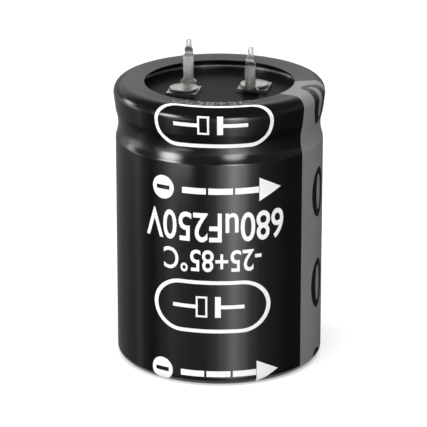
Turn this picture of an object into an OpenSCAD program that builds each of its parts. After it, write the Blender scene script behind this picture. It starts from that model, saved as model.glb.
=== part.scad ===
// Snap-in electrolytic capacitor, standing on the closed end of its can with the terminals on top.
// Millimetres. The origin is the middle of the base, +Z runs up the can's axis and -Y is the front.

/* [Can] */
// Outside diameter of the bare can
can_d = 30; // [25:0.5:35]
// Height from the closed end to the crest of the rolled rim
can_h = 41.6; // [36:0.5:60]
// Thickness of the drawn side wall
wall_t = 0.4; // [0.3:0.05:0.5]
// Thickness of the closed end
end_t = 0.6; // [0.4:0.05:0.8]
// Outside radius of the corner round the closed end
end_corner_r = 1; // [0.8:0.1:1.5]
// Radius of the roller that pressed the groove
groove_r = 1.6; // [1.4:0.1:1.8]
// Depth of the groove
groove_depth = 1.2; // [1:0.1:1.3]
// Outside radius of the shoulders where the wall turns into the groove
shoulder_r = 1.2; // [0.9:0.1:1.4]
// Distance from the crest of the rim down to the middle of the groove
groove_drop = 6; // [5.8:0.1:6.4]
// Outside radius of the rolled rim's section
curl_r = 1.45; // [1.2:0.05:1.6]
// How far the rolled rim stands out past the side wall
rim_flare = 0.25; // [0.05:0.05:0.4]
// How deep the edge of the rolled rim bites into the rubber
bite = 0.15; // [0.05:0.05:0.3]

/* [Pressure vent] */
// Length of each of the two scores in the closed end
vent_len = 18; // [10:0.5:20]
// Depth of the scores
vent_depth = 0.3; // [0.2:0.05:0.35]

/* [Sleeve] */
// Thickness of the shrunk film
sleeve_t = 0.18; // [0.12:0.02:0.3]
// How far the film reaches in over the deck, past the rolled edge
lip_over = 1.4; // [0.4:0.1:2.4]
// Width of the film's flat fold under the closed end
base_fold = 3; // [1:0.5:6]
// How far the film sinks into the groove
dip = 0.33; // [0.1:0.01:0.6]

/* [Seal] */
// Thickness of the hard board under the rubber
board_t = 1.6; // [1.2:0.1:1.8]
// Thickness of the rubber on the board
rubber_t = 1.5; // [1.2:0.1:1.6]
// Chamfer round the lower edge of the board
board_chamfer = 0.6; // [0.4:0.1:0.8]

/* [Terminals] */
// Distance between the two blades
blade_pitch = 10; // [9.5:0.1:10.5]
// Angle from the X axis to the line between the blades
blade_turn = -26; // [-30:0.5:-20]
// Distance between the two rivets
rivet_pitch = 10.5; // [10:0.1:11]
// Angle from the X axis to the line between the rivets
rivet_turn = 11; // [8:0.5:16]
// Thickness of the stamped strip
strip_t = 0.5; // [0.4:0.05:0.6]
// Side of the square foot under the rivet head
foot_w = 4.4; // [4.2:0.1:4.6]
// Inside radius of the bend from foot to blade
bend_r = 0.4; // [0.3:0.05:0.45]
// Width of the strip at the bend
root_w = 2.4; // [2:0.1:3]
// Height above the deck at which the wide root ends
root_h = 1.3; // [1.1:0.1:1.6]
// Width of the blade
blade_w = 1.5; // [1.2:0.1:1.8]
// Height of the blade's shoulders above the deck
shoulder_h = 4.8; // [4:0.1:5]
// Width of the tip
tip_w = 0.76; // [0.6:0.02:1]
// Length of the straight tip above the snap kink
tip_len = 1.05; // [0.6:0.05:1.6]
// How far the snap kink leans out
kink = 0.28; // [0.1:0.02:0.4]
// Width of the crease along the tip
crease_w = 0.28; // [0.1:0.02:0.4]

/* [Rivets] */
// Diameter of the rivet head
head_d = 4.2; // [3.6:0.1:4.4]
// Thickness of the rivet head
head_t = 0.55; // [0.4:0.05:0.7]
// Diameter of the shank
shank_d = 2.2; // [1.8:0.1:2.6]
// Diameter of the end spread under the tab
peen_d = 3.4; // [3:0.1:3.8]
// Thickness of the spread end
peen_t = 0.45; // [0.3:0.05:0.6]
// Outside diameter of the washer under the board
washer_d = 5; // [4.4:0.1:6]
// Thickness of that washer
washer_t = 0.4; // [0.3:0.05:0.6]

/* [Winding] */
// Free space between the roll and the can's wall
winding_gap = 0.8; // [0.3:0.1:2]
// Free height between the roll and the foot of the groove
roll_room = 2; // [1:0.1:6]
// Diameter of the hole that the mandrel left
mandrel_d = 4; // [3:0.1:5]
// Thickness of the tape round the roll
tape_t = 0.12; // [0.06:0.02:0.2]
// How far the tape stops short of each end of the roll
tape_margin = 4.2; // [1:0.1:8]
// Thickness of the paper disc under the roll
paper_t = 0.3; // [0.1:0.05:0.5]

/* [Tabs] */
// Width of each foil tab
tab_w = 4; // [3:0.1:5]
// Thickness of each foil tab
tab_t = 0.25; // [0.15:0.05:0.3]
// Inside radius of the hairpin beside the rivet
hairpin_r = 0.55; // [0.5:0.05:0.7]
// Distance from the rivet out to where the tab goes down into the roll
tab_reach = 3.6; // [3:0.1:4.5]
// Depth of the tab in the roll
tab_depth = 3; // [1:0.1:5]

/* [Print] */
// Thickness of the printed ink
ink_t = 0.05; // [0.04:0.01:0.1]
// Angle from the front to the near edge of the grey stripe
stripe_from = 51.5; // [45:0.5:55]
// Width of the grey stripe round the can, as an angle
stripe_angle = 36; // [30:0.5:42]
// Angle from the near edge of the stripe to the middle of its windows
window_turn = 20; // [16:0.5:24]
// Width of each window in the stripe
window_w = 4.6; // [3.6:0.1:5.4]
// Height of each window in the stripe
window_h = 7.6; // [6:0.1:9]
// Width of the grey bar in each window
bar_w = 1.7; // [1:0.1:2.4]
// Height of the grey bar in each window
bar_h = 5.4; // [4:0.1:5.8]
// Height from one window to the next
window_step = 14.1; // [12:0.05:15]
// Distance from the rim's top down to the middle of the first window
window_drop = 1.65; // [1:0.05:3]
// Width of each white frame, as seen from the front
frame_w = 16.8; // [14:0.1:18]
// Height of each white frame
frame_h = 8; // [6:0.1:8.4]
// Line width of the white print
line_w = 0.56; // [0.3:0.02:0.8]
// Diameter of the round minus marks
mark_d = 3.5; // [2.6:0.1:4]
// Angle from the front to the middle of the white print
print_turn = -3.4; // [-8:0.1:4]
// Height over which the white print repeats
print_step = 28; // [24:0.1:30]
// Distance from the rim's top down to the middle of the upper frame
frame_drop = 1.9; // [1.5:0.1:3]
// Distance from the rim's top down to the upper row of round minus marks
mark_drop = 12.55; // [10:0.05:14]

/* [Hidden] */
$fn = 96;

// Clearances between pieces that sit on each other
sleeve_gap = 0.02;
seal_gap = 0.1;
seat_gap = 0.03;
hole_gap = 0.05;
cut = 1;

can_r = can_d / 2;
film = sleeve_t + sleeve_gap;
body_r = can_r + film;
end_z = film;
floor_z = end_z + end_t;
crest_z = end_z + can_h;
top_z = crest_z + film;
lip_r = can_r + rim_flare - 2 * curl_r - lip_over;
base_open_r = can_r - end_corner_r - base_fold;
winding_r = can_r - wall_t - winding_gap;
groove_z = crest_z - groove_drop;
curl_x = can_r + rim_flare - curl_r;
curl_z = crest_z - curl_r;

// The roller's centre, the groove's half height with its shoulders, and the bead inside the can
roller_x = can_r + groove_r - groove_depth;
shoulder_x = can_r - shoulder_r;
groove_half = sqrt(pow(groove_r + shoulder_r, 2) - pow(roller_x - shoulder_x, 2));
groove_turn = asin(groove_half / (groove_r + shoulder_r));
bead_r = groove_r + wall_t;
seal_r = can_r - wall_t - seal_gap;
board_z = groove_z + bead_r * sqrt(2) - roller_x + seal_r - board_chamfer + seat_gap;
rubber_z = board_z + board_t;
deck_z = rubber_z + rubber_t;

// The negative rivet and blade; the positive ones are opposite
rivet_at = rivet_pitch / 2 * [cos(rivet_turn), sin(rivet_turn)];
blade_at = blade_pitch / 2 * [cos(blade_turn), sin(blade_turn)];
reach = norm(blade_at - rivet_at);
reach_turn = atan2(blade_at.y - rivet_at.y, blade_at.x - rivet_at.x);
bend_x = reach - strip_t / 2 - bend_r;
kink_h = 0.9;
kink_z = shoulder_h + kink_h / 2;
tip_h = kink_z + kink_h + tip_len;
shank_r = shank_d / 2;
tab_z = board_z - washer_t - tab_t;
peen_z = tab_z - peen_t;

winding_z = floor_z + paper_t;
winding_top = groove_z - groove_half - roll_room;
winding_h = winding_top - winding_z;
return_z = tab_z - 2 * hairpin_r - tab_t;
pad_w = 4.4;

arc_step = 9;
window_steps = 32;
ink_from = -45;
ink_cut = 0.2;

// How far the film turns over each shoulder before it spans the groove, and the span's radius
dip_turn = 2 * atan(dip / groove_half);
dip_r = groove_half / sin(dip_turn) - shoulder_r - film;

// Angle of the straight flare that is tangent to the upper shoulder and the rim
flare_run = [curl_x - shoulder_x, curl_z - groove_z - groove_half];
flare_turn = atan2(flare_run.y, flare_run.x) - acos((shoulder_r - curl_r) / norm(flare_run));

// Each arc of an outline is [centre, radius, from, to]; a hollow arc has a negative radius
corner_arc = [[can_r - end_corner_r, end_z + end_corner_r], end_corner_r, -90, 0];
lower_shoulder = [shoulder_x, groove_z - groove_half];
upper_shoulder = [shoulder_x, groove_z + groove_half];
can_arcs = [
    [lower_shoulder, shoulder_r, 0, groove_turn],
    [[roller_x, groove_z], -groove_r, groove_turn, -groove_turn],
    [upper_shoulder, shoulder_r, -groove_turn, flare_turn],
    [[curl_x, curl_z], curl_r, flare_turn, 180]
];
film_arcs = [
    [lower_shoulder, shoulder_r, 0, dip_turn],
    [[body_r - dip + dip_r, groove_z], -dip_r - film, dip_turn, -dip_turn],
    [upper_shoulder, shoulder_r, -dip_turn, flare_turn],
    [[curl_x, curl_z], curl_r, flare_turn, 90]
];

// Points along a list of arcs, moved out by off along their own normals
function outline(arcs, off) =
    [for (g = arcs) let (steps = ceil(abs(g[3] - g[2]) / arc_step))
        for (i = [0:steps]) let (turn = g[2] + (g[3] - g[2]) * i / steps)
            g[0] + (g[1] + off) * [cos(turn), sin(turn)]];

function backwards(line) = [for (i = [len(line) - 1:-1:0]) line[i]];

// The film's surface from the corner at the base to the crest of the rim, off from the bare can
function film_line(off, from = -90) =
    outline(concat([[corner_arc[0], corner_arc[1], from, 0]], film_arcs), off);

// One-piece drawn can: closed end with its scored vent, pressed groove and rolled rim
module can() {
    inner_corner = [[corner_arc[0].x, floor_z + end_corner_r - wall_t], end_corner_r, -90, 0];
    color("silver")
    difference() {
        rotate_extrude() polygon(concat(
            [[0, end_z]], outline(concat([corner_arc], can_arcs), 0),
            [[curl_x - curl_r, deck_z - bite], [curl_x - curl_r + wall_t, deck_z - bite]],
            backwards(outline(concat([inner_corner], can_arcs), -wall_t)), [[0, floor_z]]));
        for (a = [45, 135])
            rotate([0, 0, a]) translate([0, 0, end_z]) rotate([45, 0, 0])
                cube([vent_len, vent_depth * sqrt(2), vent_depth * sqrt(2)], center = true);
    }
}

// Heat-shrunk film: folded under the closed end, over the groove and rim, and in over the deck
module sleeve() {
    color([0.1, 0.1, 0.11])
    difference() {
        rotate_extrude() polygon(concat(
            [[base_open_r, 0]], film_line(film),
            [[lip_r, top_z], [lip_r, top_z - sleeve_t]],
            backwards(film_line(sleeve_gap)), [[base_open_r, sleeve_t]]));
        stripe_ink(ink_cut);
        bar_ink(ink_cut);
        frame_ink(ink_cut);
        mark_ink(ink_cut);
    }
}

module rivet_holes(r, z, h) {
    for (side = [-1, 1])
        translate([side * rivet_at.x, side * rivet_at.y, z - cut]) cylinder(r = r, h = h + 2 * cut);
}

// Hard laminate disc, seated on the bead of the groove
module seal_board() {
    color([0.35, 0.22, 0.12])
    difference() {
        rotate_extrude() polygon([
            [0, board_z], [seal_r - board_chamfer, board_z], [seal_r, board_z + board_chamfer],
            [seal_r, rubber_z], [0, rubber_z]]);
        rivet_holes(shank_r + hole_gap, board_z, board_t);
    }
}

// Rubber facing, with the channel that the rim's edge bites into it
module seal_rubber() {
    bite_r = curl_x - curl_r;
    color([0.06, 0.06, 0.06])
    difference() {
        translate([0, 0, rubber_z]) cylinder(r = seal_r, h = rubber_t);
        rivet_holes(shank_r + hole_gap, rubber_z, rubber_t);
        difference() {
            translate([0, 0, deck_z - bite]) cylinder(r = bite_r + wall_t, h = bite + cut);
            translate([0, 0, deck_z - bite - cut]) cylinder(r = bite_r, h = bite + 3 * cut);
        }
    }
}

// Side view of the strip past the foot: straight, bent up and on to the tip, with its snap kink
module strip_side() {
    kink_line = [for (u = [-1:0.125:1]) [kink * (1 + cos(180 * u)) / 2, kink_z + u * kink_h]];
    translate([foot_w / 2 - strip_t, 0]) square([bend_x - foot_w / 2 + strip_t, strip_t]);
    translate([bend_x, strip_t + bend_r]) intersection() {
        difference() {
            circle(r = bend_r + strip_t);
            circle(r = bend_r);
        }
        translate([0, -bend_r - strip_t]) square(bend_r + strip_t);
    }
    translate([reach, 0]) polygon(concat(
        [[-strip_t / 2, strip_t + bend_r]],
        [for (p = kink_line) p - [strip_t / 2, 0]],
        [[-strip_t / 2, tip_h], [strip_t / 2, tip_h]],
        [for (p = backwards(kink_line)) p + [strip_t / 2, 0]],
        [[strip_t / 2, strip_t + bend_r]]));
}

// Front view of the strip: wide root, blade, shoulders and a narrow tip with a round end
module strip_front() {
    neck_w = (blade_w + tip_w) / 2;
    half = [
        [root_w / 2, 0], [root_w / 2, strip_t + bend_r], [blade_w / 2, root_h],
        [blade_w / 2, shoulder_h], [neck_w / 2, shoulder_h + 0.2], [neck_w / 2, kink_z + kink_h / 2],
        [tip_w / 2, kink_z + kink_h], [tip_w / 2, tip_h - tip_w / 2]];
    polygon(concat(half, [for (p = backwards(half)) [-p.x, p.y]]));
    translate([0, tip_h - tip_w / 2]) circle(r = tip_w / 2);
}

// One stamped terminal: its rivet hole is at the origin and its blade stands out along +X
module terminal() {
    crease_from = kink_z + kink_h;
    difference() {
        union() {
            translate([-foot_w / 2, -foot_w / 2, 0]) cube([foot_w, foot_w, strip_t]);
            intersection() {
                translate([0, root_w, 0]) rotate([90, 0, 0]) linear_extrude(2 * root_w) strip_side();
                rotate([90, 0, 90]) linear_extrude(2 * reach) strip_front();
            }
        }
        translate([0, 0, -cut]) cylinder(r = shank_r + hole_gap, h = strip_t + 2 * cut);
        for (side = [-1, 1])
            translate([reach + side * strip_t / 2, 0, crease_from + tip_h / 2]) rotate([0, 0, 45])
                cube([crease_w / sqrt(2), crease_w / sqrt(2), tip_h], center = true);
    }
}

module at_rivet(z, turn) {
    translate([rivet_at.x, rivet_at.y, z]) rotate([0, 0, turn]) children();
}

module negative_terminal() {
    color([0.78, 0.78, 0.76]) at_rivet(deck_z, reach_turn) terminal();
}

module positive_terminal() {
    rotate([0, 0, 180]) negative_terminal();
}

// Rivet: turned head on the foot, shank through the seal and the end spread under the tab
module negative_rivet() {
    head_z = deck_z + strip_t;
    head_r = head_d / 2;
    edge = head_t / 3;
    color([0.72, 0.72, 0.7])
    at_rivet(0, 0) rotate_extrude() polygon([
        [0, peen_z], [peen_d / 2 - edge, peen_z], [peen_d / 2, peen_z + edge], [peen_d / 2, tab_z],
        [shank_r, tab_z], [shank_r, head_z], [head_r, head_z], [head_r, head_z + head_t - edge],
        [head_r - edge, head_z + head_t], [0, head_z + head_t]]);
}

module positive_rivet() {
    rotate([0, 0, 180]) negative_rivet();
}

module negative_washer() {
    color([0.75, 0.75, 0.74])
    at_rivet(board_z - washer_t, 0) difference() {
        cylinder(r = washer_d / 2, h = washer_t);
        translate([0, 0, -cut]) cylinder(r = shank_r + hole_gap, h = washer_t + 2 * cut);
    }
}

module positive_washer() {
    rotate([0, 0, 180]) negative_washer();
}

// A quarter or half ring of tab strip in the side view, kept where its window lies
module tab_bend(c, r, window_at, window_size) {
    intersection() {
        translate(c) difference() {
            circle(r = r + tab_t);
            circle(r = r);
        }
        translate(window_at) square(window_size);
    }
}

// Side view of a tab: pad on the rivet, hairpin, run out and leg down into the roll
module tab_side() {
    leg_z = winding_top - tab_depth;
    drop_x = tab_reach - hairpin_r - tab_t / 2;
    big = hairpin_r + tab_t;
    translate([-pad_w / 2, tab_z]) square([pad_w, tab_t]);
    tab_bend([-pad_w / 2, tab_z - hairpin_r], hairpin_r, [-pad_w / 2 - big, return_z], [big, 2 * big]);
    translate([-pad_w / 2, return_z]) square([drop_x + pad_w / 2, tab_t]);
    tab_bend([drop_x, return_z - hairpin_r], hairpin_r, [drop_x, return_z - hairpin_r], [big, big]);
    translate([drop_x + hairpin_r, leg_z]) square([tab_t, return_z - hairpin_r - leg_z]);
}

// Foil tab, folded once beside its rivet so that the seal can be fitted after riveting
module negative_tab() {
    color([0.82, 0.82, 0.83])
    at_rivet(0, rivet_turn) difference() {
        translate([0, tab_w / 2, 0]) rotate([90, 0, 0]) linear_extrude(tab_w) tab_side();
        translate([0, 0, tab_z - hairpin_r]) cylinder(r = shank_r + hole_gap, h = tab_t + 2 * hairpin_r);
    }
}

module positive_tab() {
    rotate([0, 0, 180]) negative_tab();
}

// The rolled foils and paper, with the mandrel's hole and the slits that hold the tabs
module winding() {
    slit_t = tab_t + 2 * hole_gap;
    color([0.83, 0.78, 0.66])
    difference() {
        translate([0, 0, winding_z]) cylinder(r = winding_r, h = winding_h);
        translate([0, 0, winding_z - cut]) cylinder(r = mandrel_d / 2, h = winding_h + 2 * cut);
        for (side = [0, 180])
            rotate([0, 0, side]) at_rivet(winding_top - tab_depth, rivet_turn)
                translate([tab_reach - slit_t / 2, -tab_w / 2 - hole_gap, 0])
                    cube([slit_t, tab_w + 2 * hole_gap, tab_depth + cut]);
    }
}

module winding_tape() {
    tape_w = winding_h - 2 * tape_margin;
    color([0.9, 0.85, 0.6])
    translate([0, 0, winding_z + tape_margin]) difference() {
        cylinder(r = winding_r + tape_t, h = tape_w);
        translate([0, 0, -cut]) cylinder(r = winding_r, h = tape_w + 2 * cut);
    }
}

module bottom_paper() {
    color([0.75, 0.68, 0.52])
    translate([0, 0, floor_z]) cylinder(r = can_r - end_corner_r, h = paper_t);
}

// Section of the ink, flush with the film, from the corner at the base to end_r on the flat of the
// lip. Every shape of ink can stand up proud of the film, to cut its own pocket in it.
module ink_section(end_r, up) {
    polygon(concat(
        film_line(film + up, ink_from), [[end_r, top_z + up], [end_r, top_z - ink_t]],
        backwards(film_line(film - ink_t, ink_from))));
}

// A flat shape printed on the film's wall and rim, facing out at an angle from the front
module printed(turn, up) {
    intersection() {
        rotate_extrude() ink_section(curl_x - 0.7 * line_w, up);
        rotate([0, 0, turn]) rotate([90, 0, 0]) linear_extrude(2 * body_r) children();
    }
}

module oval(w, h) {
    step = 360 / window_steps;
    polygon([for (i = [0:window_steps - 1]) [w / 2 * cos(i * step), h / 2 * sin(i * step)]]);
}

// Ovals set one over the other in the stripe, standing out from from_r
module window_solid(w, h, from_r) {
    for (i = [0:3])
        rotate([0, 0, stripe_from + window_turn])
            translate([0, -from_r, top_z - window_drop - i * window_step])
                rotate([90, 0, 0]) linear_extrude(body_r) oval(w, h);
}

module stripe_ink(up = 0) {
    difference() {
        rotate([0, 0, stripe_from - 90]) rotate_extrude(angle = stripe_angle) ink_section(lip_r - up, up);
        window_solid(window_w, window_h, curl_x - curl_r);
    }
}

module bar_ink(up = 0) {
    intersection() {
        rotate_extrude() ink_section(lip_r - up, up);
        window_solid(bar_w, bar_h, curl_x);
    }
}

module capsule(w, h) {
    square([w - h, h], center = true);
    for (side = [-1, 1]) translate([side * (w - h) / 2, 0]) circle(r = h / 2);
}

// Outline with the graphic symbol of a polarised capacitor; the solid plate faces the stripe
module frame_shape() {
    plate_h = frame_h * 0.4;
    plate_w = 1.5 * line_w;
    gap = line_w;
    lead = frame_w / 5;
    difference() {
        capsule(frame_w, frame_h);
        capsule(frame_w - 2 * line_w, frame_h - 2 * line_w);
    }
    translate([gap, -plate_h / 2]) square([plate_w, plate_h]);
    translate([gap + plate_w, -line_w / 2]) square([lead, line_w]);
    translate([-gap - 2 * plate_w, -plate_h / 2]) difference() {
        square([2 * plate_w, plate_h]);
        translate([line_w / 2, line_w / 2]) square([2 * plate_w - line_w, plate_h - line_w]);
    }
    translate([-gap - 2 * plate_w - lead, -line_w / 2]) square([lead, line_w]);
}

// Upper and lower frame; the upper one runs over the rim and closes on the flat of the lip
module frame_ink(up = 0) {
    half_w = (frame_w - frame_h) / 2 + sqrt(pow(frame_h / 2, 2) - pow(frame_drop, 2));
    printed(print_turn, up) translate([0, top_z - frame_drop - print_step]) frame_shape();
    printed(print_turn, up) translate([0, top_z - frame_drop]) {
        frame_shape();
        translate([-half_w, frame_drop - 1.2 * ink_t]) square([2 * half_w, line_w]);
    }
}

// Round mark with a minus cut out of it
module minus_mark() {
    difference() {
        circle(r = mark_d / 2);
        square([mark_d * 0.62, mark_d * 0.18], center = true);
    }
}

// An arrow head that points to the stripe
module arrow_shape() {
    polygon([[-mark_d / 2, mark_d / 2], [mark_d / 2, 0], [-mark_d / 2, -mark_d / 2]]);
}

// Rows of a round minus mark, three dashes and an arrow towards the stripe
module mark_ink(up = 0) {
    mark_z = top_z - mark_drop;
    dash = [mark_d, mark_d * 0.26];
    for (z = [mark_z - print_step, mark_z]) {
        printed(print_turn - 28.6, up) translate([0, z]) minus_mark();
        for (i = [0:2])
            printed(print_turn - 10.5 + 14.5 * i, up) translate([0, z]) square(dash, center = true);
        printed(print_turn + 32, up) translate([0, z]) arrow_shape();
    }
}

// Grey stripe beside the negative terminal, from the base over the rim to the opening
module negative_stripe() {
    color([0.45, 0.45, 0.46]) stripe_ink();
}

// Grey bars in the stripe's windows
module minus_bars() {
    color([0.5, 0.5, 0.51]) bar_ink();
}

module white_frames() {
    color("white") frame_ink();
}

module white_marks() {
    color("white") mark_ink();
}

can();
sleeve();
seal_board();
seal_rubber();
negative_terminal();
positive_terminal();
negative_rivet();
positive_rivet();
negative_washer();
positive_washer();
negative_tab();
positive_tab();
winding();
winding_tape();
bottom_paper();
negative_stripe();
minus_bars();
white_frames();
white_marks();
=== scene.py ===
import bpy, bmesh
from bisect import bisect_right
from math import asin, atan, atan2, ceil, cos, degrees, exp, floor, pi, radians, sin, sqrt, tan
from mathutils import Matrix, Vector


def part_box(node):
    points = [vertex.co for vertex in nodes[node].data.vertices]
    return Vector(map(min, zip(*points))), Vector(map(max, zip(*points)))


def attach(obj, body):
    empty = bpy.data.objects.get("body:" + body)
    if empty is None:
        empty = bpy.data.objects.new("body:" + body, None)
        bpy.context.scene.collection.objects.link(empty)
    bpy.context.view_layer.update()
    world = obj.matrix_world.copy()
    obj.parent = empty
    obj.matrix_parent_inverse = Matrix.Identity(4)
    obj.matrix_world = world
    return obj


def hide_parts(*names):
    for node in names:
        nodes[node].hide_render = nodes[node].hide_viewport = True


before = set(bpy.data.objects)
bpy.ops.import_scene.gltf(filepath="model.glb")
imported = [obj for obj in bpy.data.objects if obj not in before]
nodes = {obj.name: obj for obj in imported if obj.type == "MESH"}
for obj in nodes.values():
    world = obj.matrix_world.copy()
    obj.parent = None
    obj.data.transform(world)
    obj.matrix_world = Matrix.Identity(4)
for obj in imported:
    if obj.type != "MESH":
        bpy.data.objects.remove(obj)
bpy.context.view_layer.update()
scene = bpy.context.scene
mm = 0.001  # sizes below are in millimetres, Blender is in metres
weldGap = 1e-7  # metres
tiny = 1e-9  # keeps a step of no length from dividing by nought
print("frame loaded,", len(nodes), "nodes")


# Colours and nodes

def tint(hexCode):
    # a #rrggbb colour as linear light
    parts = [int(hexCode[i:i + 2], 16) / 255 for i in (1, 3, 5)]
    linear = [c / 12.92 if c <= 0.04045 else ((c + 0.055) / 1.055) ** 2.4 for c in parts]
    return (*linear, 1.0)


def feed(tree, node, links):
    # joins sockets, or a node's first output, to the node's inputs
    for key, source in links.items():
        socket = source if isinstance(source, bpy.types.NodeSocket) else source.outputs[0]
        tree.links.new(socket, node.inputs[key])


def addNode(tree, kind, values=None, links=None, **settings):
    # adds a node with its settings, the values of its inputs and what feeds them. A Mix node's sockets go by
    # number: 0 is the factor, 6 and 7 are the two colours and output 2 is the mixture
    node = tree.nodes.new(kind)
    for key, value in settings.items():
        setattr(node, key, value)
    for key, value in (values or {}).items():
        node.inputs[key].default_value = value
    feed(tree, node, links or {})
    return node


def bareTree(owner):
    # the node tree of a material or a world, emptied
    owner.use_nodes = True
    owner.node_tree.nodes.clear()
    return owner.node_tree


def newMaterial(name, colour, **shader):
    # a Principled surface in one colour to build on, and the object's coordinates in millimetres
    mat = bpy.data.materials.new(name)
    mat.use_nodes = True
    mat.diffuse_color = tint(colour)
    tree = mat.node_tree
    surface = tree.nodes["Principled BSDF"]
    surface.inputs["Base Color"].default_value = tint(colour)
    for key, value in shader.items():
        surface.inputs[key].default_value = value
    coords = addNode(tree, "ShaderNodeTexCoord")
    plain = addNode(tree, "ShaderNodeMapping", {"Scale": (1 / mm,) * 3},
                    {"Vector": coords.outputs["Object"]})
    return mat, tree, surface, plain


# Finishes: sizes and depths in millimetres

noiseSpan = {"From Min": 0.3, "From Max": 0.7}  # where nearly all of a noise texture's values lie
film = {"colour": "#0b0b0c", "glossy": 0.11, "dull": 0.17, "ior": 1.5, "ribSize": 1.1, "ribStretch": 0.03,
        "ribDepth": 0.0025, "swellSize": 7.0, "swellDepth": 0.01, "patchSize": 3.0}


def blackFilm():
    # shrunk polyester film: glossy, with soft swells and faint ribs drawn along it by the shrinking
    mat, tree, surface, plain = newMaterial("shrunkPolyesterFilm", film["colour"], IOR=film["ior"])
    drawn = addNode(tree, "ShaderNodeMapping", {"Scale": (1, 1, film["ribStretch"])}, {"Vector": plain})
    swells = addNode(tree, "ShaderNodeTexNoise", {"Scale": 1 / film["swellSize"], "Detail": 1.0},
                     {"Vector": plain})
    ribs = addNode(tree, "ShaderNodeTexNoise", {"Scale": 1 / film["ribSize"], "Detail": 2.0},
                   {"Vector": drawn})
    patches = addNode(tree, "ShaderNodeTexNoise", {"Scale": 1 / film["patchSize"], "Detail": 3.0},
                      {"Vector": plain})
    gloss = addNode(tree, "ShaderNodeMapRange", {**noiseSpan, "To Min": film["glossy"],
                                                 "To Max": film["dull"]}, {"Value": patches})
    swellBump = addNode(tree, "ShaderNodeBump", {"Distance": film["swellDepth"] * mm}, {"Height": swells})
    ribBump = addNode(tree, "ShaderNodeBump", {"Distance": film["ribDepth"] * mm},
                      {"Height": ribs, "Normal": swellBump})
    feed(tree, surface, {"Roughness": gloss, "Normal": ribBump})
    return mat


inkFilm = {"patchSize": 0.35, "patchRoughness": 0.6, "wornFrom": 0.45, "wornTo": 0.8, "worn": 0.35,
           "speckSize": 0.12, "speckDepth": 0.0012, "ior": 1.47}


def printInk(name, colour, worn, roughness):
    # solvent ink printed on film: even, a little duller than the film, thinner where the screen missed
    mat, tree, surface, plain = newMaterial(name, colour, Roughness=roughness, IOR=inkFilm["ior"])
    patches = addNode(tree, "ShaderNodeTexNoise", {"Scale": 1 / inkFilm["patchSize"], "Detail": 4.0,
                                                   "Roughness": inkFilm["patchRoughness"]}, {"Vector": plain})
    thin = addNode(tree, "ShaderNodeMapRange", {"From Min": inkFilm["wornFrom"], "From Max": inkFilm["wornTo"],
                                                "To Max": inkFilm["worn"]}, {"Value": patches})
    colours = addNode(tree, "ShaderNodeMix", {6: tint(colour), 7: tint(worn)}, {0: thin}, data_type="RGBA")
    specks = addNode(tree, "ShaderNodeTexNoise", {"Scale": 1 / inkFilm["speckSize"], "Detail": 3.0},
                     {"Vector": plain})
    bump = addNode(tree, "ShaderNodeBump", {"Distance": inkFilm["speckDepth"] * mm}, {"Height": specks})
    feed(tree, surface, {"Base Color": colours.outputs[2], "Normal": bump})
    return mat


mould = {"patchSize": 2.4, "dust": 0.5}


def pressed(name, colour, dusty, roughness, shine, grit, depth):
    # rubber or laminate pressed in a mould: matt, with the mould's fine grit and slight patches
    mat, tree, surface, plain = newMaterial(name, colour, Roughness=roughness)
    surface.inputs["Specular IOR Level"].default_value = shine
    patches = addNode(tree, "ShaderNodeTexNoise", {"Scale": 1 / mould["patchSize"], "Detail": 3.0},
                      {"Vector": plain})
    dust = addNode(tree, "ShaderNodeMapRange", {**noiseSpan, "To Max": mould["dust"]}, {"Value": patches})
    colours = addNode(tree, "ShaderNodeMix", {6: tint(colour), 7: tint(dusty)}, {0: dust}, data_type="RGBA")
    grains = addNode(tree, "ShaderNodeTexNoise", {"Scale": 1 / grit, "Detail": 3.0}, {"Vector": plain})
    bump = addNode(tree, "ShaderNodeBump", {"Distance": depth * mm}, {"Height": grains})
    feed(tree, surface, {"Base Color": colours.outputs[2], "Normal": bump})
    return mat


metal = {"markRoughness": 0.55, "swellScale": 4, "brightest": 0.8, "dullest": 1.25}


def bareMetal(name, colour, dull, roughness, streak, size, depth, swell):
    # unpainted metal: streaks along the axis that streak shrinks, and low swells from dipping or pressing
    mat, tree, surface, plain = newMaterial(name, colour, Metallic=1.0)
    drawn = addNode(tree, "ShaderNodeMapping", {"Scale": streak}, {"Vector": plain})
    marks = addNode(tree, "ShaderNodeTexNoise", {"Scale": 1 / size, "Detail": 3.0,
                                                 "Roughness": metal["markRoughness"]}, {"Vector": drawn})
    swells = addNode(tree, "ShaderNodeTexNoise", {"Scale": 1 / (metal["swellScale"] * size), "Detail": 1.0},
                     {"Vector": plain})
    tone = addNode(tree, "ShaderNodeMapRange", noiseSpan, {"Value": marks})
    colours = addNode(tree, "ShaderNodeMix", {6: tint(colour), 7: tint(dull)}, {0: tone}, data_type="RGBA")
    gloss = addNode(tree, "ShaderNodeMapRange", {"To Min": roughness * metal["brightest"],
                                                 "To Max": roughness * metal["dullest"]}, {"Value": tone})
    low = addNode(tree, "ShaderNodeBump", {"Distance": swell * mm}, {"Height": swells})
    fineBump = addNode(tree, "ShaderNodeBump", {"Distance": depth * mm}, {"Height": marks, "Normal": low})
    feed(tree, surface, {"Base Color": colours.outputs[2], "Roughness": gloss, "Normal": fineBump})
    return mat


roll = {"paper": "#cdb88f", "gap": "#8d7c5c", "roughness": 0.75, "waveSize": 0.44, "wander": 0.6,
        "wanderScale": 0.4, "depth": 0.02}


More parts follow.
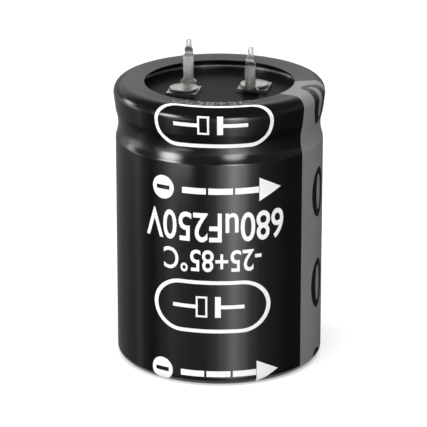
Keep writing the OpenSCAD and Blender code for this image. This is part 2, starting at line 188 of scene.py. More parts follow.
def woundPaper():
    # kraft paper and foil wound tight: seen edge on, the turns are rings about the axis
    mat, tree, surface, plain = newMaterial("woundSeparatorPaper", roll["paper"], Roughness=roll["roughness"])
    rings = addNode(tree, "ShaderNodeTexWave", {"Scale": 1 / roll["waveSize"], "Distortion": roll["wander"],
                                                "Detail": 2.0, "Detail Scale": roll["wanderScale"]},
                    {"Vector": plain}, wave_type="RINGS", rings_direction="Z")
    colours = addNode(tree, "ShaderNodeMix", {6: tint(roll["gap"]), 7: tint(roll["paper"])}, {0: rings},
                      data_type="RGBA")
    bump = addNode(tree, "ShaderNodeBump", {"Distance": roll["depth"] * mm}, {"Height": rings})
    feed(tree, surface, {"Base Color": colours.outputs[2], "Normal": bump})
    return mat


sheet = {"fibreSize": 0.4, "fibreStretch": 0.25, "fibreRoughness": 0.7, "fibreDepth": 0.006}


def fibreSheet(name, colour, fibre, roughness):
    # paper or tape with its fibres lying one way
    mat, tree, surface, plain = newMaterial(name, colour, Roughness=roughness)
    lying = addNode(tree, "ShaderNodeMapping", {"Scale": (1, sheet["fibreStretch"], 1)}, {"Vector": plain})
    fibres = addNode(tree, "ShaderNodeTexNoise", {"Scale": 1 / sheet["fibreSize"], "Detail": 4.0,
                                                  "Roughness": sheet["fibreRoughness"]}, {"Vector": lying})
    tone = addNode(tree, "ShaderNodeMapRange", noiseSpan, {"Value": fibres})
    colours = addNode(tree, "ShaderNodeMix", {6: tint(colour), 7: tint(fibre)}, {0: tone}, data_type="RGBA")
    bump = addNode(tree, "ShaderNodeBump", {"Distance": sheet["fibreDepth"] * mm}, {"Height": fibres})
    feed(tree, surface, {"Base Color": colours.outputs[2], "Normal": bump})
    return mat


looks = {
    "film": blackFilm(),
    "whiteInk": printInk("whiteScreenInk", "#f2f2f0", worn="#d9d9d6", roughness=0.42),
    "greyInk": printInk("greyScreenInk", "#7a7a7b", worn="#747475", roughness=0.36),
    "barInk": printInk("paleScreenInk", "#7c7c7d", worn="#6e6e6f", roughness=0.36),
    # the rim's white print painted dim grey: painted shade, as the rim turns away from the light
    "shadedRimInk": printInk("rimInkPaintedShade", "#6a6a6a", worn="#2a2a2a", roughness=0.42),
    "rubber": pressed("mouldedButylRubber", "#0c0c0c", dusty="#101010", roughness=0.42, shine=0.12,
                      grit=0.08, depth=0.004),
    "laminate": pressed("phenolicLaminate", "#6b4a30", dusty="#7a5638", roughness=0.5, shine=0.5,
                        grit=0.2, depth=0.007),
    "tinned": bareMetal("hotTinnedBrass", "#f8f7f4", dull="#c6c4bf", roughness=0.33, streak=(1, 1, 0.14),
                        size=0.8, depth=0.028, swell=0.1),
    "rivet": bareMetal("coldHeadedAluminium", "#e8e8e6", dull="#dadad8", roughness=0.27, streak=(1, 1, 1),
                       size=0.9, depth=0.0003, swell=0.006),
    "curl": bareMetal("rolledCanEdge", "#e4e4e5", dull="#dadadc", roughness=0.33, streak=(1, 1, 1),
                      size=0.6, depth=0.0002, swell=0.0004),
    "can": bareMetal("deepDrawnAluminium", "#dcdcdd", dull="#cacacc", roughness=0.2, streak=(1, 1, 0.1),
                     size=0.3, depth=0.002, swell=0.004),
    "foil": bareMetal("rolledAluminiumFoil", "#d8d8da", dull="#c6c6c8", roughness=0.3, streak=(0.15, 1, 1),
                      size=0.25, depth=0.002, swell=0.004),
    "roll": woundPaper(),
    "paper": fibreSheet("pressedInsulatingPaper", "#b59a6c", fibre="#9c8257", roughness=0.85),
    "tape": fibreSheet("polyimideTape", "#c9a04c", fibre="#bd9340", roughness=0.4),
}
print("finishes done")


# The film's section, as arcs like the CAD part's: centre, radius (negative where hollow), from and to

sleeve = {"bodyRadius": 15.2, "topHeight": 42.0, "thickness": 0.18, "lipRadius": 10.95, "fold": 3.0,
          "grooveHeight": 35.8, "shoulderX": 13.8, "shoulderRadius": 1.4, "cornerRadius": 1.2,
          "halfGroove": 2.298, "dip": 0.33, "rimX": 13.8, "rimHeight": 40.35, "rimRadius": 1.65,
          "flareTurn": -6.37, "lipSlope": 4.0, "lipLevel": 0.2, "lipSteps": 6, "inkRise": 0.015,
          "steps": 192, "outerStep": 3.0, "innerStep": 10.0, "runStep": 1.0, "levelTurn": 89.9,
          "sharpAngle": 50}
sag = {"height": 35.9, "reach": 1.7, "depth": 0.1, "mean": 0.5,
       "waves": ((5, 0.22, 0.6), (9, 0.16, 2.1), (14, 0.12, 4.0))}  # times round, size and start of each

cornerX = sleeve["bodyRadius"] - sleeve["cornerRadius"]
foldRadius = cornerX - sleeve["fold"]
dipTurn = degrees(2 * atan(sleeve["dip"] / sleeve["halfGroove"]))
dipRadius = sleeve["halfGroove"] / sin(radians(dipTurn)) - sleeve["shoulderRadius"]
filmArcs = [
    ((cornerX, sleeve["cornerRadius"]), sleeve["cornerRadius"], -90, 0),
    ((sleeve["shoulderX"], sleeve["grooveHeight"] - sleeve["halfGroove"]), sleeve["shoulderRadius"],
     0, dipTurn),
    ((sleeve["bodyRadius"] - sleeve["dip"] + dipRadius, sleeve["grooveHeight"]), -dipRadius,
     dipTurn, -dipTurn),
    ((sleeve["shoulderX"], sleeve["grooveHeight"] + sleeve["halfGroove"]), sleeve["shoulderRadius"],
     -dipTurn, sleeve["flareTurn"]),
    ((sleeve["rimX"], sleeve["rimHeight"]), sleeve["rimRadius"], sleeve["flareTurn"], 90),
]


def sectionPoints(inset, step):
    # points (r, z, normal angle) up the film, moved in along their normals by inset
    points = [(foldRadius, inset, -90.0)]
    for (cx, cz), radius, start, end in filmArcs:
        count = max(2, ceil(abs(end - start) / step))
        for i in range(count + 1):
            turn = start + (end - start) * i / count
            reach = radius - inset
            points.append((cx + reach * cos(radians(turn)), cz + reach * sin(radians(turn)), turn))
    slope = radians(sleeve["lipSlope"])  # the lip leans in over the seal
    start = sleeve["rimX"] - sleeve["rimRadius"] * sleeve["lipLevel"]
    for i in range(1, sleeve["lipSteps"] + 1):
        r = sleeve["rimX"] + (sleeve["lipRadius"] - sleeve["rimX"]) * i / sleeve["lipSteps"]
        past = max(start - r, 0)
        points.append((r, sleeve["topHeight"] - inset - past * tan(slope),
                       90.0 + sleeve["lipSlope"] * min(past, 1)))
    return points


def sinkAt(turn, z):
    # how far the film is drawn in beyond a true round, where it bridges the groove unevenly
    band = exp(-((z - sag["height"]) / sag["reach"]) ** 2)
    waves = sum((size * sin(times * turn + start) for times, size, start in sag["waves"]), sag["mean"])
    return sag["depth"] * band * waves


fine = sectionPoints(0.0, sleeve["runStep"])
runs = [0.0]
for (r0, z0, a0), (r1, z1, a1) in zip(fine, fine[1:]):
    runs.append(runs[-1] + sqrt((r1 - r0) ** 2 + (z1 - z0) ** 2))
cornerRun = next(run for run, p in zip(runs, fine) if p[2] == 0)  # where the corner meets the wall
runs = [run - cornerRun + sleeve["cornerRadius"] for run in runs]  # so on the straight wall it is the height
heights = [p[1] for p in fine]
crestRun = next(run for run, p in zip(runs, fine) if p[2] > sleeve["levelTurn"])


def filmAt(turn, run, lift):
    # the place on the film at an angle from the front and a length up its section, lifted off it, and the
    # normal there
    i = min(max(bisect_right(runs, run) - 1, 0), len(runs) - 2)
    share = (run - runs[i]) / max(runs[i + 1] - runs[i], tiny)
    r, z, angle = [a + (b - a) * share for a, b in zip(fine[i], fine[i + 1])]
    out, up = cos(radians(angle)), sin(radians(angle))
    far = r + lift * out - sinkAt(turn, z)
    spot = Vector((far * sin(turn), -far * cos(turn), z + lift * up)) * mm
    return spot, Vector((out * sin(turn), -out * cos(turn), up))


def runAt(z):
    # length up the section at a height, for heights up to the crest
    top = heights.index(max(heights))
    i = min(max(bisect_right(heights, z, 0, top) - 1, 0), len(runs) - 2)
    share = (z - heights[i]) / max(heights[i + 1] - heights[i], tiny)
    return runs[i] + (runs[i + 1] - runs[i]) * min(max(share, 0), 1)


# Finishing a piece: into the scene, smooth, with its material, body and CAD nodes

def finishPiece(name, bm, look, replaced=(), sharpAngle=40):
    mesh = bpy.data.meshes.new(name)
    bm.to_mesh(mesh)
    bm.free()
    piece = bpy.data.objects.new(name, mesh)
    scene.collection.objects.link(piece)
    mesh.materials.append(looks[look])
    mesh.polygons.foreach_set("use_smooth", [True] * len(mesh.polygons))
    mesh.set_sharp_from_angle(angle=radians(sharpAngle))
    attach(piece, "root")
    if replaced:
        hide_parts(*replaced)
    print("made", name, len(mesh.polygons), "faces")
    return piece


def spun(bm, steps, centre=(0, 0, 0)):
    # a full spin of a section in the XZ plane about the upright axis, moved to centre
    bmesh.ops.spin(bm, geom=bm.verts[:] + bm.edges[:], cent=(0, 0, 0), axis=(0, 0, 1), dvec=(0, 0, 0),
                   angle=2 * pi, steps=steps, use_merge=True)
    bmesh.ops.remove_doubles(bm, verts=bm.verts, dist=weldGap)
    bmesh.ops.recalc_face_normals(bm, faces=bm.faces)
    bmesh.ops.translate(bm, verts=bm.verts, vec=Vector(centre) * mm)
    return bm


def lathe(points, steps, centre=(0, 0, 0), closed=True):
    # an open section starts and ends on the axis
    bm = bmesh.new()
    verts = [bm.verts.new((x * mm, 0, z * mm)) for x, z in points]
    for pair in zip(verts, verts[1:] + verts[:closed]):
        bm.edges.new(pair)
    return spun(bm, steps, centre)


# Sleeve

outer = [(r, z) for r, z, a in sectionPoints(sleeve["inkRise"], sleeve["outerStep"])]
inner = [(r, z) for r, z, a in sectionPoints(sleeve["thickness"], sleeve["innerStep"])]
bm = lathe(outer + inner[::-1], sleeve["steps"])
for v in bm.verts:
    turn = atan2(v.co.x, -v.co.y)
    r = sqrt(v.co.x ** 2 + v.co.y ** 2)
    v.co.xy *= (r - sinkAt(turn, v.co.z / mm) * mm) / r
finishPiece("sleeveFilm", bm, "film", ["sleeve"], sleeve["sharpAngle"])


# Print: flat shapes, cut into a fine grid, made thin solids and laid on the film

ink = {"thickness": 0.05, "acrossStep": 0.7, "upStep": 0.3, "fineUpStep": 0.12, "line": 0.56,
       "turn": -3.4, "repeat": 27.9, "lean": 1.1, "weldGap": 1e-4, "cutGap": 1e-5}


def flatShape(loops):
    # a 2D curve fills its outlines and leaves the ones inside them open
    curve = bpy.data.curves.new("flat", "CURVE")
    curve.dimensions = "2D"
    curve.fill_mode = "BOTH"
    for loop in loops:
        spline = curve.splines.new("POLY")
        spline.points.add(len(loop) - 1)
        for point, (x, y) in zip(spline.points, loop):
            point.co = (x, y, 0, 1)
        spline.use_cyclic_u = True
    return curveMesh(curve)


def flatShapes(groups):
    # shapes that touch are filled one by one, because touching outlines don't fill
    bm = flatShape(groups[0])
    for loops in groups[1:]:
        more = flatShape(loops)
        part = bpy.data.meshes.new("part")
        more.to_mesh(part)
        more.free()
        bm.from_mesh(part)
        bpy.data.meshes.remove(part)
    return bm


def flatText(words, height, width, weight):
    # a row of plain bold characters with its middle at the origin, upside down as the can is printed
    curve = bpy.data.curves.new("words", "FONT")
    curve.body = words
    curve.align_x = "CENTER"
    curve.resolution_u = 4
    curve.offset = weight
    bm = curveMesh(curve)
    xs = [v.co.x for v in bm.verts]
    top = max(v.co.y for v in bm.verts)  # the base line is at 0
    bmesh.ops.translate(bm, verts=bm.verts, vec=(-(max(xs) + min(xs)) / 2, -top / 2, 0))
    bmesh.ops.scale(bm, verts=bm.verts, vec=(-width / (max(xs) - min(xs)), -height / top, 1))
    return bm


def curveMesh(curve):
    # the curve's filled mesh, with the curve itself taken away again
    holder = bpy.data.objects.new("holder", curve)
    scene.collection.objects.link(holder)
    bpy.context.view_layer.update()
    mesh = bpy.data.meshes.new_from_object(holder.evaluated_get(bpy.context.evaluated_depsgraph_get()))
    bm = bmesh.new()
    bm.from_mesh(mesh)
    bpy.data.objects.remove(holder)
    bpy.data.curves.remove(curve)
    bpy.data.meshes.remove(mesh)
    bmesh.ops.remove_doubles(bm, verts=bm.verts, dist=ink["weldGap"])
    return bm


def cutGrid(bm, acrossStep, upStep):
    # cuts flat shapes along a grid, so that they can bend
    for axis, step in enumerate((acrossStep, upStep)):
        values = [v.co[axis] for v in bm.verts]
        first, last = floor(min(values) / step) + 1, ceil(max(values) / step)
        for k in range(first, last):
            spot, normal = Vector((0, 0, 0)), Vector((0, 0, 0))
            spot[axis], normal[axis] = k * step, 1
            bmesh.ops.bisect_plane(bm, geom=bm.verts[:] + bm.edges[:] + bm.faces[:],
                                   dist=ink["cutGap"], plane_co=spot, plane_no=normal)


def layOn(name, bm, where, look, replaced=(), upStep=ink["upStep"]):
    # where(x, y) gives the angle from the front and the run up the film of a flat point, and the top takes
    # the film's own normals
    cutGrid(bm, ink["acrossStep"], upStep)
    bm.normal_update()
    for f in bm.faces:
        if f.normal.z < 0:
            f.normal_flip()
    top = bmesh.ops.extrude_face_region(bm, geom=bm.faces[:])
    raised = {v for v in top["geom"] if isinstance(v, bmesh.types.BMVert)}
    normals = {}
    for v in bm.verts:
        turn, run = where(v.co.x, v.co.y)
        v.co, normals[v] = filmAt(turn, run, 0.0 if v in raised else -ink["thickness"])
    bm.verts.index_update()
    bm.normal_update()
    smooth = {v.index: normals[v] for v in raised}
    bmesh.ops.recalc_face_normals(bm, faces=bm.faces)
    piece = finishPiece(name, bm, look, replaced, sharpAngle=180)
    loopNormals = []
    for poly in piece.data.polygons:
        onTop = all(i in smooth for i in poly.vertices)
        for i in poly.vertices:
            loopNormals.append(smooth[i] if onTop else poly.normal)
    piece.data.normals_split_custom_set(loopNormals)


def asSeen(turnDegrees):
    # where() for a shape seen square on from its own side, as high as the CAD part has it
    def where(x, y):
        run = runAt(y) if y > sleeve["cornerRadius"] else y  # below that it goes round the corner
        return radians(turnDegrees) + asin(min(max(x / sleeve["bodyRadius"], -1), 1)), run
    return where


def wrapped(turnDegrees, middleRun):
    # where() for a shape wrapped round the film without stretching
    def where(x, y):
        return radians(turnDegrees) + x / sleeve["bodyRadius"], middleRun + y
    return where


def box(x0, y0, x1, y1):
    return [(x0, y0), (x1, y0), (x1, y1), (x0, y1)]


def oval(w, h, x=0.0, y=0.0, count=40):
    return [(x + w / 2 * cos(2 * pi * i / count), y + h / 2 * sin(2 * pi * i / count)) for i in range(count)]


def capsule(w, h, y=0.0, count=20):
    half = [(w / 2 - h / 2 + h / 2 * sin(pi * i / count), y - h / 2 * cos(pi * i / count))
            for i in range(count + 1)]
    return half + [(-px, 2 * y - py) for px, py in half]


stripe = {"from": 51.5, "angle": 36.0, "windowTurn": 71.5, "windowWidth": 4.9, "windowHeight": 7.6,
          "barWidth": 1.5, "barHeight": 5.4, "barTurnStep": 10, "step": 14.1, "drop": 1.5,
          "wholeWindows": 3, "footTurn": 45}

halfStripe = radians(stripe["angle"] / 2) * sleeve["bodyRadius"]
stripeMiddle = stripe["from"] + stripe["angle"] / 2
windowX = radians(stripe["windowTurn"] - stripeMiddle) * sleeve["bodyRadius"]
windowRuns = [runAt(sleeve["topHeight"] - stripe["drop"] - i * stripe["step"])
              for i in range(stripe["wholeWindows"])]
lastRun = windowRuns[-1] - stripe["step"]  # this window runs off the foot of the print
stripeFoot = sleeve["cornerRadius"] * (1 - radians(stripe["footTurn"]))  # part way round the can's corner
lastWindow = oval(stripe["windowWidth"], stripe["windowHeight"], windowX, lastRun)
foot = sorted(p for p in lastWindow if p[1] > stripeFoot)
stripeLoops = [[(-halfStripe, stripeFoot), (foot[0][0], stripeFoot)] + foot
               + [(foot[-1][0], stripeFoot), (halfStripe, stripeFoot)]
               + [(halfStripe, runs[-1]), (-halfStripe, runs[-1])]]
stripeLoops += [oval(stripe["windowWidth"], stripe["windowHeight"], windowX, run) for run in windowRuns]
layOn("negativeStripe", flatShape(stripeLoops), wrapped(stripeMiddle, 0), "greyInk",
      ["negative_stripe"])

barLoops = [oval(stripe["barWidth"], stripe["barHeight"], windowX, run) for run in windowRuns]
barTop = [(windowX + stripe["barWidth"] / 2 * cos(radians(a)),
           lastRun + stripe["barHeight"] / 2 * sin(radians(a)))
          for a in range(0, 181, stripe["barTurnStep"])]
barLoops.append([p for p in barTop if p[1] > stripeFoot])
layOn("minusBars", flatShape(barLoops), wrapped(stripeMiddle, 0), "barInk", ["minus_bars"])

# plateLines is a plate's width in lines, and leadsAcross the frame's width in leads
frames = {"width": 16.8, "height": 8.0, "drop": 1.84, "upperWidth": 17.7, "overCrest": 0.12,
          "plateShare": 0.4, "plateLines": 1.5, "leadsAcross": 5}


def symbolGroups(width, height, y):
    # two plates and two leads inside a capsule outline, the plain sign of a polarised capacitor
    line = ink["line"]
    plateH, plateW = height * frames["plateShare"], frames["plateLines"] * line
    lead = width / frames["leadsAcross"]
    hollow = -line - 2 * plateW
    return [
        [capsule(width, height, y), capsule(width - 2 * line, height - 2 * line, y)],
        [box(line, y - plateH / 2, line + plateW, y + plateH / 2)],
        [box(line + plateW, y - line / 2, line + plateW + lead, y + line / 2)],
        [box(hollow, y - plateH / 2, -line, y + plateH / 2),
         box(hollow + line / 2, y - plateH / 2 + line / 2, -line - line / 2, y + plateH / 2 - line / 2)],
        [box(hollow - lead, y - line / 2, hollow, y + line / 2)],
    ]


upperY = sleeve["topHeight"] - frames["drop"]
lowerY = upperY - ink["repeat"]
bm = flatShapes(symbolGroups(frames["width"], frames["height"], lowerY))
layOn("whiteFrameLower", bm, asSeen(ink["turn"] - ink["lean"]), "whiteInk", ["white_frames"])
upperFoot, upperTop = runAt(upperY - frames["height"] / 2), crestRun + frames["overCrest"]
bm = flatShapes(symbolGroups(frames["upperWidth"], upperTop - upperFoot, 0))
layOn("whiteFrameUpper", bm, wrapped(ink["turn"], (upperTop + upperFoot) / 2), "whiteInk",
      ["white_frames"], ink["fineUpStep"])
print("frames done")

marks = {"diameter": 3.5, "drop": 12.21, "discTurn": -28.6, "minusHalf": 0.31, "minusLine": 0.09,
         "arrowTurn": 32, "dashTurn": -10.5, "dashStep": 14.5, "dashes": 3, "dashLine": 0.13}
size = marks["diameter"]  # minusHalf, minusLine and dashLine are shares of it
upperZ = sleeve["topHeight"] - marks["drop"]
for name, turn, z in (("Upper", ink["turn"], upperZ),
                      ("Lower", ink["turn"] - ink["lean"], upperZ - ink["repeat"])):
    arrow = [(-size / 2, z + size / 2), (-size / 2, z - size / 2), (size / 2, z)]
    minus = [oval(size, size, 0, z), box(-size * marks["minusHalf"], z - size * marks["minusLine"],
                                         size * marks["minusHalf"], z + size * marks["minusLine"])]
    dash = box(-size / 2, z - size * marks["dashLine"], size / 2, z + size * marks["dashLine"])
    parts = [("minusMark" + name, minus, marks["discTurn"]), ("arrowMark" + name, [arrow], marks["arrowTurn"])]
    parts += [(f"dashMark{name}{i + 1}", [dash], marks["dashTurn"] + marks["dashStep"] * i)
              for i in range(marks["dashes"])]
    for partName, loops, offset in parts:
        layOn(partName, flatShape(loops), asSeen(turn + offset), "whiteInk", ["white_marks"])

rating = {"words": "680uF250V", "height": 4.35, "width": 21.3, "turn": -3.1, "run": 24.27, "weight": 0.012}
heat = {"words": "-25+85°C", "height": 3.4, "width": 14.6, "turn": -4.15, "run": 19.16, "weight": 0.012}
rimCut = {"pastCrest": 0.35, "margin": 0.05}
for name, row in (("ratingRow", rating), ("heatRow", heat)):
    bm = flatText(row["words"], row["height"], row["width"], row["weight"])
    layOn(name, bm, wrapped(row["turn"], row["run"]), "whiteInk")

# the lower row once more on the rim, where the lip cuts it off; its white print is painted dim grey, painted
# shade for the rim that turns away from the light
bm = flatText(heat["words"], heat["height"], heat["width"], heat["weight"])
rimMiddle = crestRun + rimCut["pastCrest"] + heat["height"] / 2
bmesh.ops.bisect_plane(bm, geom=bm.verts[:] + bm.edges[:] + bm.faces[:], dist=ink["cutGap"], clear_outer=True,
                       plane_co=(0, runs[-1] - rimMiddle - rimCut["margin"], 0), plane_no=(0, 1, 0))
layOn("rimRow", bm, wrapped(heat["turn"], rimMiddle), "shadedRimInk")
print("print done")


# Terminals and rivets

def copyNode(name):
    # a CAD node's triangles joined up again
    bm = bmesh.new()
    bm.from_mesh(nodes[name].data)
    bmesh.ops.remove_doubles(bm, verts=bm.verts, dist=weldGap)
    bmesh.ops.dissolve_limit(bm, angle_limit=radians(stamped["flatAngle"]), verts=bm.verts, edges=bm.edges)
    return bm


stamped = {"edge": 0.16, "segments": 4, "flatAngle": 1, "bevelAngle": 35, "sharpAngle": 30}
for side in ("negative", "positive"):
    piece = finishPiece(side + "Terminal", copyNode(side + "_terminal"), "tinned",
                        [side + "_terminal"], stamped["sharpAngle"])
    rounding = piece.modifiers.new("stampedEdge", "BEVEL")
    rounding.width = stamped["edge"] * mm
    rounding.segments = stamped["segments"]
    rounding.limit_method = "ANGLE"
    rounding.angle_limit = radians(stamped["bevelAngle"])

# a rivet's spread end, its shank, and a low domed head that stands a hair off the foot
rivet = {"headRadius": 2.12, "headHeight": 0.55, "gap": 0.1, "dome": 0.16, "domeSteps": 8, "shankRadius": 1.1,
         "peenRadius": 1.7, "peenHeight": 0.45, "steps": 72, "rounding": 0.09, "roundingSteps": 4,
         "edgeAngle": 40, "sharpAngle": 50}
for side in ("negative", "positive"):
    low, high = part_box(side + "_rivet")
    middle = (low + high) / 2 / mm
    foot, top = low.z / mm, high.z / mm
    under, peenTop = top - rivet["headHeight"] + rivet["gap"], foot + rivet["peenHeight"]
    dome = [(rivet["headRadius"] * (1 - i / rivet["domeSteps"]),
             top - rivet["dome"] * (1 - i / rivet["domeSteps"]) ** 2) for i in range(rivet["domeSteps"] + 1)]
    section = [(0, foot), (rivet["peenRadius"], foot), (rivet["peenRadius"], peenTop),
               (rivet["shankRadius"], peenTop), (rivet["shankRadius"], under), (rivet["headRadius"], under)]
    bm = lathe(section + dome, rivet["steps"], (middle.x, middle.y, 0), closed=False)
    sharp = [e for e in bm.edges if e.calc_face_angle(0) > radians(rivet["edgeAngle"])]
    bmesh.ops.bevel(bm, geom=sharp, offset=rivet["rounding"] * mm, affect="EDGES", profile=0.5, material=-1,
                    segments=rivet["roundingSteps"], clamp_overlap=True)
    finishPiece(side + "Rivet", bm, "rivet", [side + "_rivet"], rivet["sharpAngle"])


# Inside the lip: the film's edge drawn down round the can's curl, and the curl's bare end below it

tuck = {"inner": 12.27, "outer": 12.34, "top": 41.75, "foot": 40.7}
bm = lathe(box(tuck["inner"], tuck["foot"], tuck["outer"], tuck["top"]), sleeve["steps"])
finishPiece("sleeveTuck", bm, "film")

curlEnd = {"radius": 12.2, "height": 40.62, "roundness": 0.2, "steps": 16}
bm = bmesh.new()
bmesh.ops.create_circle(bm, cap_ends=False, radius=curlEnd["roundness"] * mm, segments=curlEnd["steps"])
bmesh.ops.rotate(bm, verts=bm.verts, cent=(0, 0, 0), matrix=Matrix.Rotation(pi / 2, 3, "X"))
bmesh.ops.translate(bm, verts=bm.verts, vec=(curlEnd["radius"] * mm, 0, curlEnd["height"] * mm))
finishPiece("canCurlEnd", spun(bm, sleeve["steps"]), "curl", sharpAngle=180)


# Materials of the CAD nodes that stay

for names, look in ((["can"], "can"), (["seal_board"], "laminate"), (["seal_rubber"], "rubber"),
                    (["negative_washer", "positive_washer", "negative_tab", "positive_tab"], "foil"),
                    (["winding"], "roll"), (["winding_tape"], "tape"), (["bottom_paper"], "paper")):
    for name in names:
        nodes[name].data.materials.clear()
        nodes[name].data.materials.append(looks[look])
print("materials done")


# Camera

view = {"distance": 415.0, "target": 20.0, "elevation": 18.9, "lens": 236.3, "sensor": 36, "clip": 10.0,
        "left": 0.85, "up": 1.27}
el = radians(view["elevation"])
back, upward = Vector((0, -cos(el), sin(el))), Vector((0, sin(el), cos(el)))
aim = Vector((-view["left"], 0, view["target"])) + upward * view["up"]
camera = bpy.data.objects.new("camera", bpy.data.cameras.new("camera"))
camera.data.lens = view["lens"]
camera.data.sensor_width = view["sensor"]
camera.data.clip_start = view["clip"] * mm
camera.location = (aim + back * view["distance"]) * mm
camera.rotation_euler = (pi / 2 - el, 0, 0)
scene.collection.objects.link(camera)
scene.camera = camera


# Studio: floor, room, lamps, and cards that only reflections see

studio = {"floorSize": 3000.0, "floorSides": 64, "floorGlow": 0.45, "floorGrey": 0.58, "roomLight": 0.53,
          "frontLow": 0.2, "frontHigh": 0.1, "back": 0.68, "aimHeight": 30.0, "boxDistance": 450.0,
          "boxPeak": 0.8}
fade = {"backFrom": 0.4, "backTo": 0.85, "highFrom": 0.12, "highTo": 0.3, "lowShare": 0.15,
        "frontFrom": 0.3, "frontTo": 0.5}  # where the room's parts fade into each other, in a unit direction

bm = bmesh.new()
bmesh.ops.create_circle(bm, cap_ends=True, radius=studio["floorSize"] * mm, segments=studio["floorSides"])
mesh = bpy.data.meshes.new("floor")
bm.to_mesh(mesh)
bm.free()
ground = bpy.data.objects.new("floor", mesh)
scene.collection.objects.link(ground)
mat = bpy.data.materials.new("plainFloor")
tree = bareTree(mat)
path = addNode(tree, "ShaderNodeLightPath")
paint = addNode(tree, "ShaderNodeBsdfDiffuse", {"Color": (studio["floorGrey"],) * 3 + (1,)})
cameraOrGloss = addNode(tree, "ShaderNodeMath", operation="MAXIMUM",
                        links={0: path.outputs["Is Camera Ray"], 1: path.outputs["Is Glossy Ray"]})
seen = addNode(tree, "ShaderNodeMath", operation="MAXIMUM",
               links={0: cameraOrGloss, 1: path.outputs["Is Transmission Ray"]})
level = addNode(tree, "ShaderNodeMath", {1: studio["floorGlow"]}, {0: seen}, operation="MULTIPLY")
glow = addNode(tree, "ShaderNodeEmission", {"Color": (1, 1, 1, 1)}, {"Strength": level})
both = addNode(tree, "ShaderNodeAddShader", links={0: paint, 1: glow})
addNode(tree, "ShaderNodeOutputMaterial", links={"Surface": both})
mesh.materials.append(mat)

# the room is white to the camera, and in reflections it has a white wall behind the can and is dim in front
scene.world = bpy.data.worlds.new("studio")
tree = bareTree(scene.world)
path = addNode(tree, "ShaderNodeLightPath")
coords = addNode(tree, "ShaderNodeTexCoord")
axes = addNode(tree, "ShaderNodeSeparateXYZ", links={0: coords.outputs["Generated"]})
behind = addNode(tree, "ShaderNodeMapRange", {"From Min": fade["backFrom"], "From Max": fade["backTo"]},
                 {"Value": axes.outputs["Y"]}, interpolation_type="SMOOTHSTEP")
above = addNode(tree, "ShaderNodeMapRange", {"From Min": fade["highFrom"], "From Max": fade["highTo"],
                                             "To Min": fade["lowShare"]},
                {"Value": axes.outputs["Z"]}, interpolation_type="SMOOTHSTEP")
wall = addNode(tree, "ShaderNodeMath", links={0: behind, 1: above}, operation="MULTIPLY")
front = addNode(tree, "ShaderNodeMapRange", {"From Min": fade["frontFrom"], "From Max": fade["frontTo"],
                                             "To Min": studio["frontLow"], "To Max": studio["frontHigh"]},
                {"Value": axes.outputs["Z"]})
level = addNode(tree, "ShaderNodeMapRange", {"To Max": studio["back"]}, {"Value": wall, "To Min": front})
room = addNode(tree, "ShaderNodeBackground", {"Color": (1, 1, 1, 1)}, {"Strength": level})
white = addNode(tree, "ShaderNodeBackground", {"Color": (1, 1, 1, 1), "Strength": 1.0})
soft = addNode(tree, "ShaderNodeBackground", {"Color": (1, 1, 1, 1), "Strength": studio["roomLight"]})
seen = addNode(tree, "ShaderNodeMath", operation="MAXIMUM",
               links={0: path.outputs["Is Camera Ray"], 1: path.outputs["Is Transmission Ray"]})
shown = addNode(tree, "ShaderNodeMixShader", links={0: seen, 1: soft, 2: white})
gloss = addNode(tree, "ShaderNodeMixShader", links={0: path.outputs["Is Glossy Ray"], 1: shown, 2: room})
addNode(tree, "ShaderNodeOutputWorld", links={"Surface": gloss})

# The floor card's glow as the can's wall mirrors it: the angle from the front, then the glow near the can,
# at farAt and from beyondAt on
glowKnots = [(-90, 0.2, 0.25, 0.3), (-74, 0.2, 0.3, 0.3), (-62, 0.2, 0.3, 0.9), (-56, 0.2, 0.35, 2.4),
             (-51, 0.4, 0.6, 2.4), (-46, 0.15, 0.22, 0.7), (-40, 0.05, 0.02, 0.15), (-34, 0.25, 0.4, 1.6),
             (-27, 0.48, 1.8, 4.0), (-20, 0.36, 0.4, 1.0), (-14, 0.3, 0.15, 0.25), (-9, 0.3, 0.12, 0.3),
             (-3, 0.6, 0.6, 0.8), (2, 1.4, 2.3, 1.9), (8, 3.0, 5.8, 4.4), (13, 1.9, 3.4, 4.0),
             (18, 0.7, 0.9, 1.0), (24, 0.3, 0.25, 0.35), (32, 0.15, 0.12, 0.16), (42, 0.04, 0.04, 0.08),
             (90, 0.04, 0.04, 0.08)]
card = {"reach": 1500.0, "farAt": 120.0, "beyondAt": 220.0, "halfTurn": 88.0, "columns": 176, "rows": 48,
        "height": 0.4, "gap": 0.2, "steepFrom": 0.42, "steepTo": 0.62, "steepShare": 0.25}
# a brighter patch on the card for the blades
patch = {"angle": -20.0, "angleReach": 8.0, "distance": 130.0, "distanceReach": 30.0, "glow": 5.0}


def glowAt(angle, distance):
    for (a0, *first), (a1, *last) in zip(glowKnots, glowKnots[1:]):
        if a0 <= angle <= a1:
            t = (angle - a0) / (a1 - a0)
            near, far, beyond = [f + (g - f) * t * t * (3 - 2 * t) for f, g in zip(first, last)]
            away = min(max((distance - card["farAt"]) / (card["beyondAt"] - card["farAt"]), 0), 1)
            share = min(distance / card["farAt"], 1) ** 2
            side = max(1 - ((angle - patch["angle"]) / patch["angleReach"]) ** 2, 0)
            ahead = max(1 - ((distance - patch["distance"]) / patch["distanceReach"]) ** 2, 0)
            return near + (far - near) * share + (beyond - far) * away + patch["glow"] * (side * ahead) ** 2


def glossOnly(name, bm, mat):
    # a card that nothing sees but reflections
    mesh = bpy.data.meshes.new(name)
    bm.to_mesh(mesh)
    bm.free()
    mesh.materials.append(mat)
    board = bpy.data.objects.new(name, mesh)
    scene.collection.objects.link(board)
    for kind in ("camera", "diffuse", "shadow", "transmission", "volume_scatter"):
        setattr(board, "visible_" + kind, False)
    return board


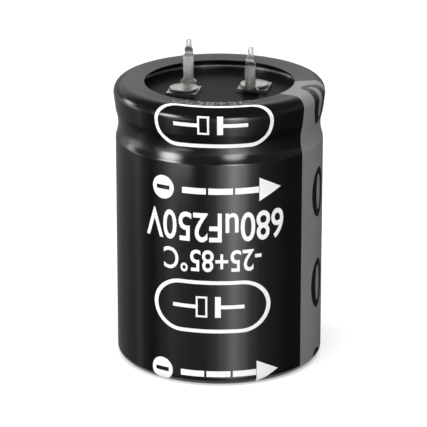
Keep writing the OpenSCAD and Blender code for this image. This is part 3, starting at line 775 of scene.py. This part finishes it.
# a honeycomb grid over the card takes the light that leaves it steeply
mat = bpy.data.materials.new("paintedCard")
tree = bareTree(mat)
level = addNode(tree, "ShaderNodeAttribute", attribute_name="glow")
facing = addNode(tree, "ShaderNodeLayerWeight", {"Blend": 0.5})
grid = addNode(tree, "ShaderNodeMapRange", {"From Min": card["steepFrom"], "From Max": card["steepTo"],
                                            "To Min": card["steepShare"]},
               {"Value": facing.outputs["Facing"]}, interpolation_type="SMOOTHSTEP")
passed = addNode(tree, "ShaderNodeMath", links={0: level.outputs["Fac"], 1: grid}, operation="MULTIPLY")
light = addNode(tree, "ShaderNodeEmission", {"Color": (1, 1, 1, 1)}, {"Strength": passed})
addNode(tree, "ShaderNodeOutputMaterial", links={"Surface": light})

bm = bmesh.new()
bmesh.ops.create_grid(bm, x_segments=card["columns"], y_segments=card["rows"], size=1)
tone = bm.verts.layers.float.new("glow")
for v in bm.verts:
    angle, share = v.co.x * card["halfTurn"], (v.co.y + 1) / 2
    distance, a = card["reach"] * share ** 3, radians(angle)  # the rows lie closer near the can
    start = Vector((sin(a), -cos(a), 0)) * (sleeve["bodyRadius"] + card["gap"])
    v.co = (start + Vector((sin(2 * a), -cos(2 * a), 0)) * distance + Vector((0, 0, card["height"]))) * mm
    v[tone] = glowAt(angle, distance)
glossOnly("floorCard", bm, mat)


def standAt(azimuth, elevation, distance):
    # a place at an angle from the front, and the turn that faces the can from there
    az, up = radians(azimuth), radians(elevation)
    spot = Vector((sin(az) * cos(up), -cos(az) * cos(up), sin(up))) * distance
    return (spot + Vector((0, 0, studio["aimHeight"]))) * mm, (-spot).to_track_quat("-Z", "Y").to_euler()


def addSoftBox(name, azimuth, elevation, width, height, brightness):
    # a soft box as the gloss shows it, brightest in its middle
    mat = bpy.data.materials.new(name)
    tree = bareTree(mat)
    coords = addNode(tree, "ShaderNodeTexCoord")
    spread = addNode(tree, "ShaderNodeMapping", {"Scale": (2 / (width * mm), 2 / (height * mm), 1)},
                     {"Vector": coords.outputs["Object"]})
    ball = addNode(tree, "ShaderNodeTexGradient", links={"Vector": spread}, gradient_type="SPHERICAL")
    level = addNode(tree, "ShaderNodeMapRange", {"From Max": studio["boxPeak"], "To Max": brightness},
                    {"Value": ball.outputs["Fac"]}, interpolation_type="SMOOTHSTEP")
    light = addNode(tree, "ShaderNodeEmission", {"Color": (1, 1, 1, 1)}, {"Strength": level})
    clear = addNode(tree, "ShaderNodeBsdfTransparent")
    both = addNode(tree, "ShaderNodeAddShader", links={0: light, 1: clear})
    addNode(tree, "ShaderNodeOutputMaterial", links={"Surface": both})
    bm = bmesh.new()
    bmesh.ops.create_grid(bm, x_segments=1, y_segments=1, size=0.5)
    bmesh.ops.scale(bm, verts=bm.verts, vec=(width * mm, height * mm, 1))
    board = glossOnly(name, bm, mat)
    board.location, board.rotation_euler = standAt(azimuth, elevation, studio["boxDistance"])


def addLamp(name, azimuth, elevation, distance, width, height, power):
    # an area lamp for the plain light; its place in reflections is a soft box's
    data = bpy.data.lights.new(name, "AREA")
    data.shape = "RECTANGLE"
    data.size, data.size_y, data.energy = width * mm, height * mm, power
    lamp = bpy.data.objects.new(name, data)
    lamp.location, lamp.rotation_euler = standAt(azimuth, elevation, distance)
    lamp.visible_camera = False
    lamp.visible_glossy = False
    scene.collection.objects.link(lamp)


softBoxes = [  # azimuth, elevation, width, height, brightness
    ("leftBox", -55, 3, 290, 210, 18),
    ("frontBox", 15.5, 2, 260, 190, 11),
    ("sideBox", -112, 8, 220, 220, 6),
]
for softBox in softBoxes:
    addSoftBox(*softBox)
lamps = [  # azimuth, elevation, distance, width, height, power
    ("keyLamp", -53, 20, 450, 150, 120, 0.7),
    ("sideLamp", -113, 20, 450, 100, 120, 0.6),
    ("frontLamp", 14, 15, 450, 150, 90, 0.32),
    ("topLamp", 0, 80, 500, 300, 300, 2.2),
]
for lamp in lamps:
    addLamp(*lamp)

scene.view_settings.view_transform = "Standard"
print("studio done")
